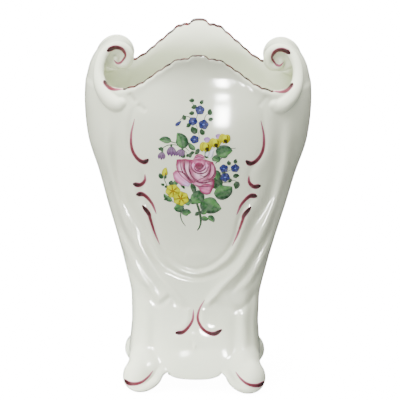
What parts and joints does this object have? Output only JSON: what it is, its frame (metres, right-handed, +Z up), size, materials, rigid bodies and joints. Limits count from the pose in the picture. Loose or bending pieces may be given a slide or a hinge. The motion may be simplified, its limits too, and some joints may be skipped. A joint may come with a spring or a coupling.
{
  "type": "footed flower vase",
  "caption": "Rococo flower vase in glazed ceramic: oval flaring body, wavy rim with rolled side scrolls, four scrolled feet, moulded folds and a hand-painted bouquet",
  "frame": {"origin": "middle of the footprint, on the ground plane under the four feet", "axes": "+Z up along the vase's height, the decorated front faces -Y, +X to the right of a viewer in front; the vase is mirrored about the YZ plane"},
  "size_m": [0.1764, 0.1218, 0.28],
  "materials": {
    "glaze": "glossy off-white glaze with a faint green-grey tint"
  },
  "bodies": {
    "root": {"body": "glaze", "scroll_left": "glaze", "scroll_right": "glaze", "foot_front_left": "glaze", "foot_front_right": "glaze", "foot_rear_left": "glaze", "foot_rear_right": "glaze"}
  },
  "joints": []
}
